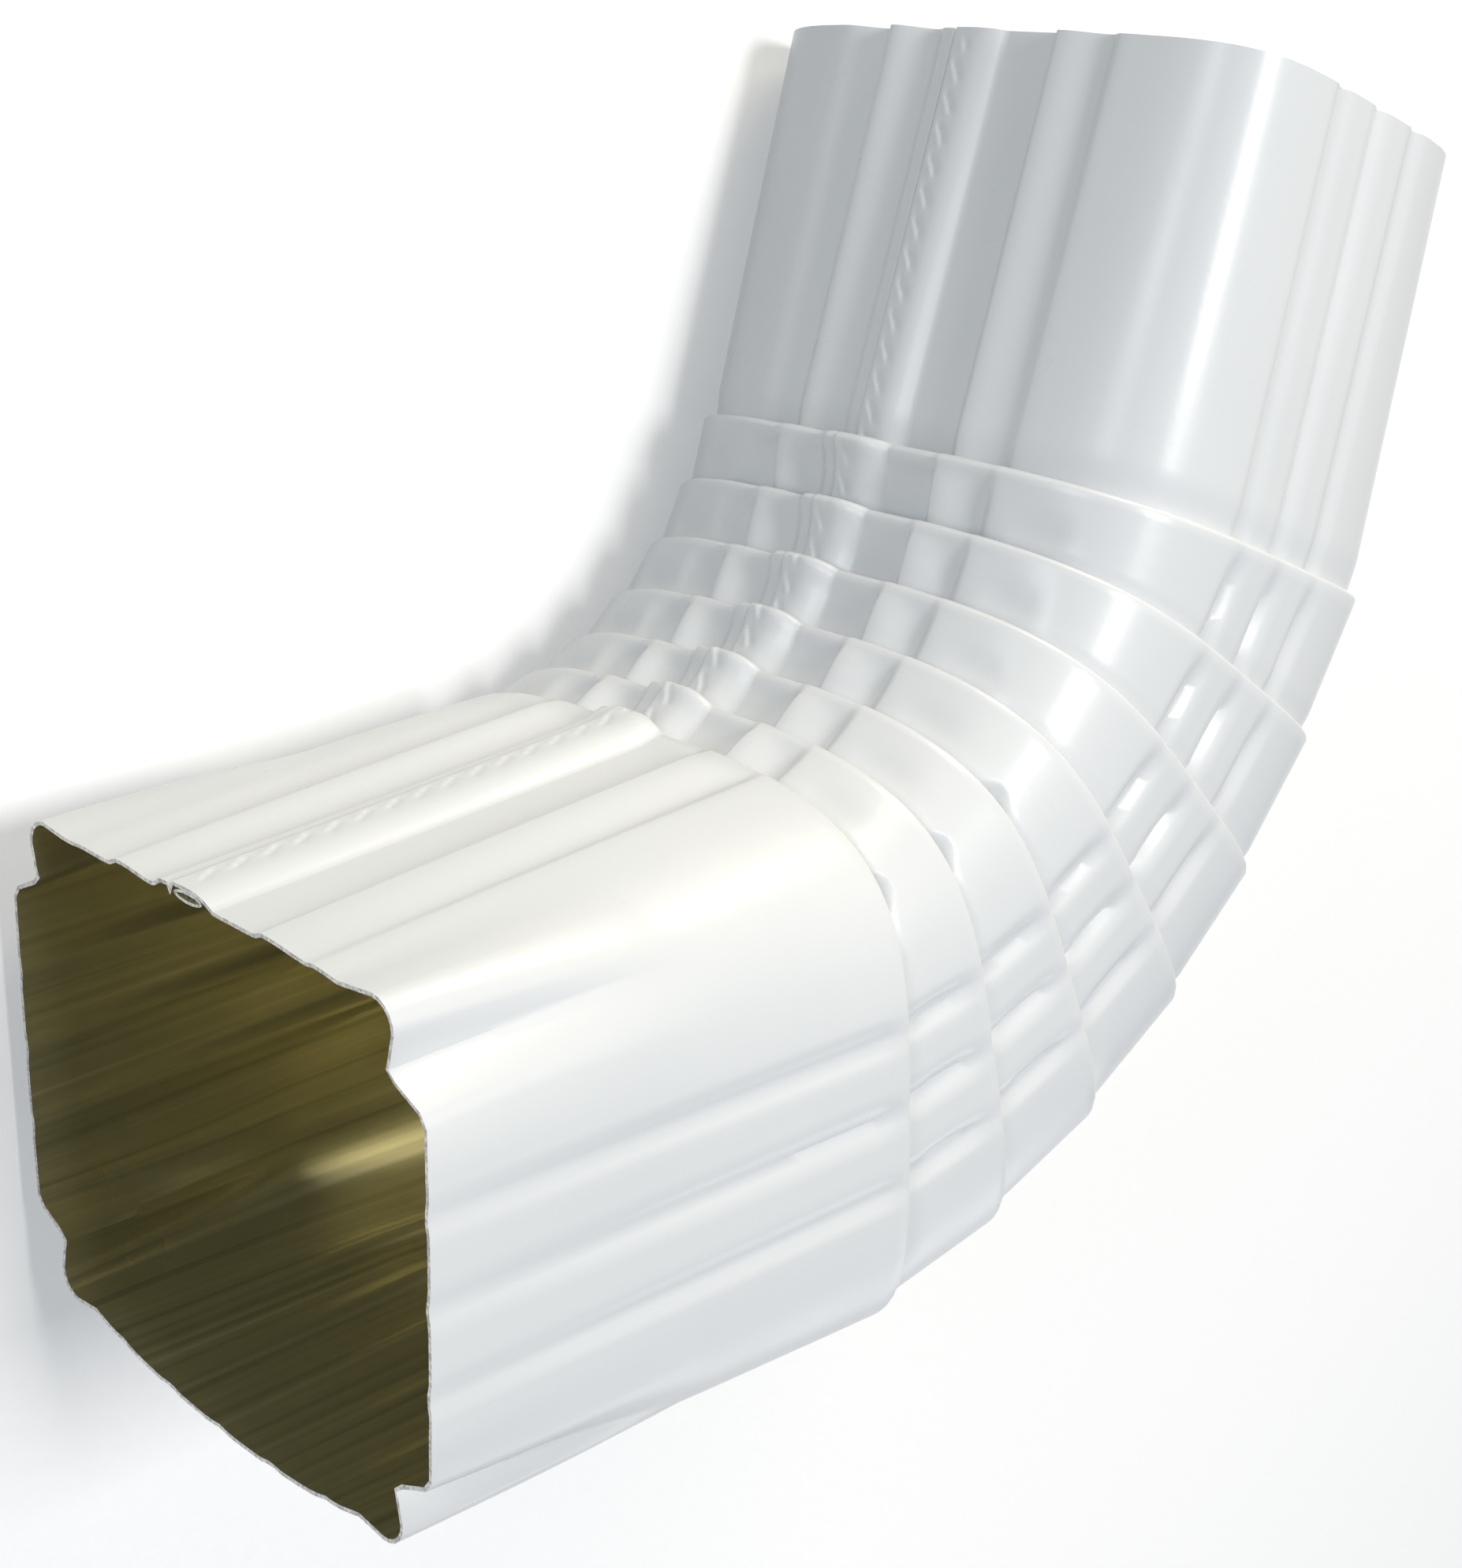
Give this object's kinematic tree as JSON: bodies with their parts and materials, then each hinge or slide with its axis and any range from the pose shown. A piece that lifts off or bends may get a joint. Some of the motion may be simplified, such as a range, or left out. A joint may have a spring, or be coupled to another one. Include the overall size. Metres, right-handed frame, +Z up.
{
  "type": "downspout elbow",
  "caption": "Crimped rectangular sheet-metal elbow that turns a ribbed downspout through a bend, with a larger inlet socket and a notched, drawn-in outlet spigot.",
  "frame": {"origin": "centre of the bounding box's bottom face, on the surface the elbow lies on", "axes": "the elbow lies on one narrow side: +Z up across its width, the inlet opens towards -Y, the outlet leaves towards +X and a little +Y"},
  "size_m": [0.2062, 0.2248, 0.108],
  "materials": {
    "white_enamel": "gloss white baked enamel outside on aluminium sheet, dark olive wash coat inside"
  },
  "bodies": {
    "root": {"downspout_elbow": "white_enamel"}
  },
  "joints": []
}
